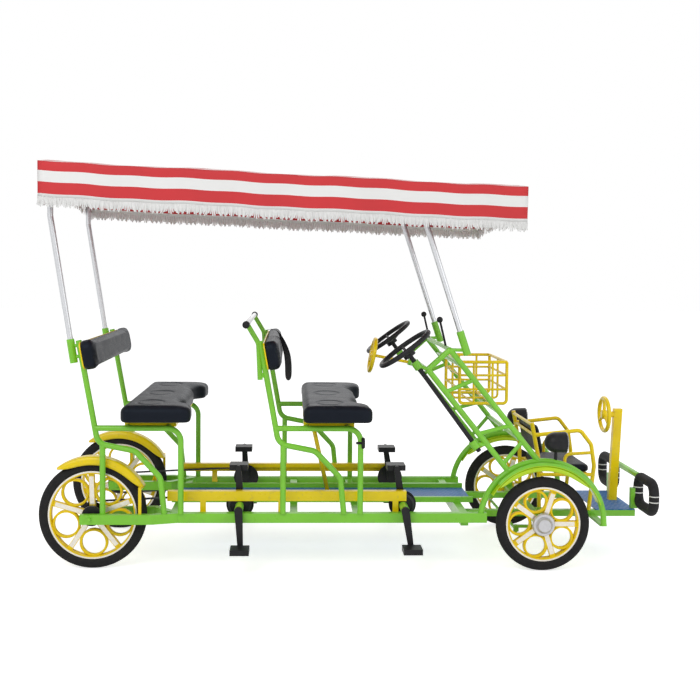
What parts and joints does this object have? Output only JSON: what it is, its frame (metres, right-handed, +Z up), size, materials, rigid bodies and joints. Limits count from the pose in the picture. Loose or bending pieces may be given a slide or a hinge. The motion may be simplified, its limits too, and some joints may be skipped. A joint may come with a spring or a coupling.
{
  "type": "four-seat pedal quadricycle",
  "caption": "Pedal quadricycle with bench seats, striped fringed canopy on posts, steered front wheels, cranks, child seat, basket and padded bumper.",
  "frame": {"origin": "on the ground under the middle of the whole vehicle's box", "axes": "+X forward, +Y to the vehicle's left, +Z up"},
  "size_m": [2.9379, 1.19, 1.9296],
  "materials": {
    "tyre_rubber": "matt",
    "wheel_yellow": "gloss",
    "black_metal": "satin",
    "hub_grey": "satin",
    "frame_green": "gloss",
    "floor_blue": "satin",
    "seat_black": "soft gloss",
    "trim_yellow": "gloss",
    "post_silver": "brushed",
    "canopy_cloth": "woven stripes",
    "lens_clear": "clear",
    "foam_black": "foam"
  },
  "bodies": {
    "chassis": {"backrest_front": "seat_black", "backrest_rear": "seat_black", "basket": "trim_yellow", "brake_levers": "black_metal", "bumper": "foam_black", "bumper_bar": "frame_green", "canopy": "canopy_cloth", "canopy_frame": "post_silver", "canopy_posts": "post_silver", "chain_guards": "trim_yellow", "chains": "black_metal", "child_post": "trim_yellow", "child_seat_frame": "trim_yellow", "child_seat_pads": "seat_black", "cross_members": "frame_green", "cushion_front": "seat_black", "cushion_rear": "seat_black", "front_arches": "frame_green", "front_frame": "frame_green", "front_mudguards": "trim_yellow", "grab_handle_bar": "post_silver", "grab_handle_tubes": "frame_green", "headlamp_lenses": "lens_clear", "headlamps": "black_metal", "platform": "floor_blue", "post_sockets": "frame_green", "rail_left": "frame_green", "rail_right": "frame_green", "rear_mudguards": "trim_yellow", "seat_frame_front": "frame_green", "seat_frame_rear": "frame_green", "seat_plates": "trim_yellow", "steering_trusses": "frame_green", "walkway": "floor_blue"},
    "rear_wheel_left": {"wheel_rear_left": "wheel_yellow", "tyre_rear_left": "tyre_rubber", "rear_hub_left": "black_metal"},
    "rear_wheel_right": {"wheel_rear_right": "wheel_yellow", "tyre_rear_right": "tyre_rubber", "rear_hub_right": "black_metal"},
    "steering_knuckle_right": {"knuckle_right": "frame_green"},
    "front_wheel_right": {"wheel_front_right": "wheel_yellow", "tyre_front_right": "tyre_rubber", "front_hub_cap_right": "hub_grey"},
    "steering_knuckle_left": {"knuckle_left": "frame_green"},
    "front_wheel_left": {"wheel_front_left": "wheel_yellow", "tyre_front_left": "tyre_rubber", "front_hub_cap_left": "hub_grey"},
    "tie_rod_link": {"tie_rod": "frame_green"},
    "hand_steering_left": {"steering_wheel_left": "black_metal"},
    "hand_steering_right": {"steering_wheel_right": "black_metal"},
    "crankset_rear_left": {"crank_rear_left": "black_metal"},
    "crankset_rear_right": {"crank_rear_right": "black_metal"},
    "crankset_front_left": {"crank_front_left": "black_metal"},
    "crankset_front_right": {"crank_front_right": "black_metal"},
    "play_wheel_middle": {"hand_wheel_middle": "trim_yellow"},
    "play_wheel_child": {"hand_wheel_child": "trim_yellow"}
  },
  "joints": [
    {"name": "rear_wheel_left_spin", "type": "hinge", "parent": "chassis", "child": "rear_wheel_left", "pos_m": [-1.215, 0.375, 0.254], "axis": [0, 1, 0], "continuous": true},
    {"name": "rear_wheel_right_spin", "type": "hinge", "parent": "chassis", "child": "rear_wheel_right", "pos_m": [-1.215, -0.375, 0.254], "axis": [0, 1, 0], "continuous": true},
    {"name": "steer_right", "type": "hinge", "parent": "chassis", "child": "steering_knuckle_right", "pos_m": [0.905, -0.362, 0.222], "axis": [0, 0, 1], "range_deg": [-30, 30]},
    {"name": "front_wheel_right_spin", "type": "hinge", "parent": "steering_knuckle_right", "child": "front_wheel_right", "pos_m": [0.905, -0.43, 0.222], "axis": [0, 1, 0], "continuous": true},
    {"name": "steer_left", "type": "hinge", "parent": "chassis", "child": "steering_knuckle_left", "pos_m": [0.905, 0.362, 0.222], "axis": [0, 0, 1], "range_deg": [-30, 30]},
    {"name": "front_wheel_left_spin", "type": "hinge", "parent": "steering_knuckle_left", "child": "front_wheel_left", "pos_m": [0.905, 0.43, 0.222], "axis": [0, 1, 0], "continuous": true},
    {"name": "tie_rod_pivot", "type": "hinge", "parent": "steering_knuckle_right", "child": "tie_rod_link", "pos_m": [0.795, -0.362, 0.176], "axis": [0, 0, 1], "range_deg": [-30, 30]},
    {"name": "steering_wheel_left_turn", "type": "hinge", "parent": "chassis", "child": "hand_steering_left", "pos_m": [0.246, 0.42, 1.046], "axis": [-0.5948, 0, 0.8039], "range_deg": [-45, 45]},
    {"name": "steering_wheel_right_turn", "type": "hinge", "parent": "chassis", "child": "hand_steering_right", "pos_m": [0.246, -0.42, 1.046], "axis": [-0.5948, 0, 0.8039], "range_deg": [-45, 45]},
    {"name": "crank_rear_left_spin", "type": "hinge", "parent": "chassis", "child": "crankset_rear_left", "pos_m": [-0.527, 0.4, 0.29], "axis": [0, 1, 0], "continuous": true},
    {"name": "crank_rear_right_spin", "type": "hinge", "parent": "chassis", "child": "crankset_rear_right", "pos_m": [-0.527, -0.4, 0.29], "axis": [0, 1, 0], "continuous": true},
    {"name": "crank_front_left_spin", "type": "hinge", "parent": "chassis", "child": "crankset_front_left", "pos_m": [0.252, 0.4, 0.29], "axis": [0, 1, 0], "continuous": true},
    {"name": "crank_front_right_spin", "type": "hinge", "parent": "chassis", "child": "crankset_front_right", "pos_m": [0.252, -0.4, 0.29], "axis": [0, 1, 0], "continuous": true},
    {"name": "play_wheel_middle_turn", "type": "hinge", "parent": "chassis", "child": "play_wheel_middle", "pos_m": [0.127, 0, 0.981], "axis": [0.9816, 0, -0.1908], "continuous": true},
    {"name": "play_wheel_child_turn", "type": "hinge", "parent": "chassis", "child": "play_wheel_child", "pos_m": [1.324, 0, 0.68], "axis": [1, 0, 0], "continuous": true}
  ],
  "couplings": [
    {"joint": "steer_left", "follows": "steer_right", "ratio": 1},
    {"joint": "tie_rod_pivot", "follows": "steer_right", "ratio": -1},
    {"joint": "steering_wheel_left_turn", "follows": "steer_right", "ratio": 1.5},
    {"joint": "steering_wheel_right_turn", "follows": "steer_right", "ratio": 1.5}
  ]
}
